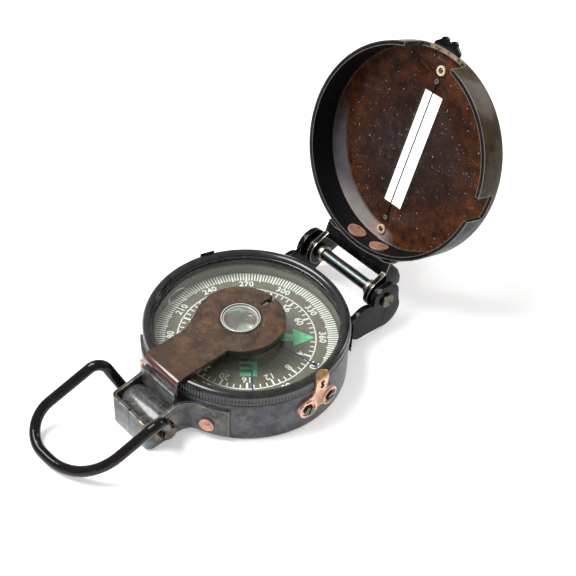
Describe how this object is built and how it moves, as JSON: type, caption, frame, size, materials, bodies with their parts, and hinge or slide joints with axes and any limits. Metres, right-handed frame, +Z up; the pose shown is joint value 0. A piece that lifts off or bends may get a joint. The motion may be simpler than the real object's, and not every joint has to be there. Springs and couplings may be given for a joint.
{
  "type": "sighting compass",
  "caption": "Pocket marching compass with a turning glass bezel, magnetic dial card, hinged cover with a hairline slot, flip-up magnifying eyepiece and a wire thumb ring.",
  "frame": {"origin": "centre of the case's flat bottom, on the surface it lies on", "axes": "+Z up out of the dial; +Y along the sight line, from the eyepiece to the cover's hinge; +X to the user's right and along the hinge axis"},
  "size_m": [0.059, 0.1316, 0.0738],
  "materials": {
    "case_lacquer": "worn blue-black lacquer on brass",
    "bezel_lacquer": "glossy black lacquer",
    "cover_lacquer": "glossy red-brown lacquer, worn at edges",
    "eyepiece_lacquer": "worn brown-black lacquer over brass",
    "black_metal": "satin black, brass showing at edges",
    "ring_black": "gloss black",
    "card_paint": "matt olive-grey with white print",
    "brass": "worn brass",
    "copper": "copper",
    "steel": "polished steel",
    "blued_steel": "blued steel",
    "bright_plate": "nickel plate",
    "rubber": "matt",
    "clear_glass": "clear",
    "jewel": "polished stone",
    "bead": "gloss black"
  },
  "bodies": {
    "case": {"case_cup": "case_lacquer", "filler_plug": "brass", "filler_seal": "rubber", "pivot_post": "brass", "capsule_gasket": "rubber", "capsule_glass": "clear_glass", "bezel_clip_near": "copper", "bezel_clip_far": "black_metal", "clip_screws": "black_metal", "hinge_bracket": "black_metal", "bracket_rivets": "copper", "hinge_screw": "brass", "hinge_tube": "blued_steel", "hinge_washers": "steel", "hinge_spacers": "black_metal", "eyepiece_frame": "black_metal", "frame_rivets": "copper", "eyepiece_pin": "steel"},
    "bezel": {"bezel_ring": "bezel_lacquer", "bezel_glass": "clear_glass", "glass_retainer": "brass"},
    "card": {"compass_card": "card_paint", "card_hub": "brass", "pivot_jewel": "jewel", "card_magnets": "steel"},
    "lid": {"lid_cup": "cover_lacquer", "lid_fork": "black_metal", "lid_rivets": "copper", "lid_tab": "case_lacquer", "sight_wire": "copper", "wire_eyelets": "steel", "dot_cups": "brass", "dot_beads": "bead"},
    "eyepiece": {"eyepiece_plate": "eyepiece_lacquer", "eyepiece_leaf": "steel", "eyepiece_bush": "steel", "lens_ring": "bright_plate", "eyepiece_lens": "clear_glass"},
    "ring": {"thumb_ring": "ring_black"}
  },
  "joints": [
    {"name": "bezel_spin", "type": "hinge", "parent": "case", "child": "bezel", "pos_m": [0, 0, 0.0139], "axis": [0, 0, 1], "continuous": true},
    {"name": "card_spin", "type": "hinge", "parent": "case", "child": "card", "pos_m": [0, 0, 0.0092], "axis": [0, 0, 1], "continuous": true},
    {"name": "lid_hinge", "type": "hinge", "parent": "case", "child": "lid", "pos_m": [0, 0.03743, 0.01107], "axis": [1, 0, 0], "range_deg": [-68, 110.35]},
    {"name": "eyepiece_hinge", "type": "hinge", "parent": "case", "child": "eyepiece", "pos_m": [0, -0.03385, 0.0052], "axis": [1, 0, 0], "range_deg": [0, 72]},
    {"name": "thumb_ring_swing", "type": "hinge", "parent": "case", "child": "ring", "pos_m": [0, -0.03385, 0.0052], "axis": [1, 0, 0], "range_deg": [-50, 140]}
  ]
}
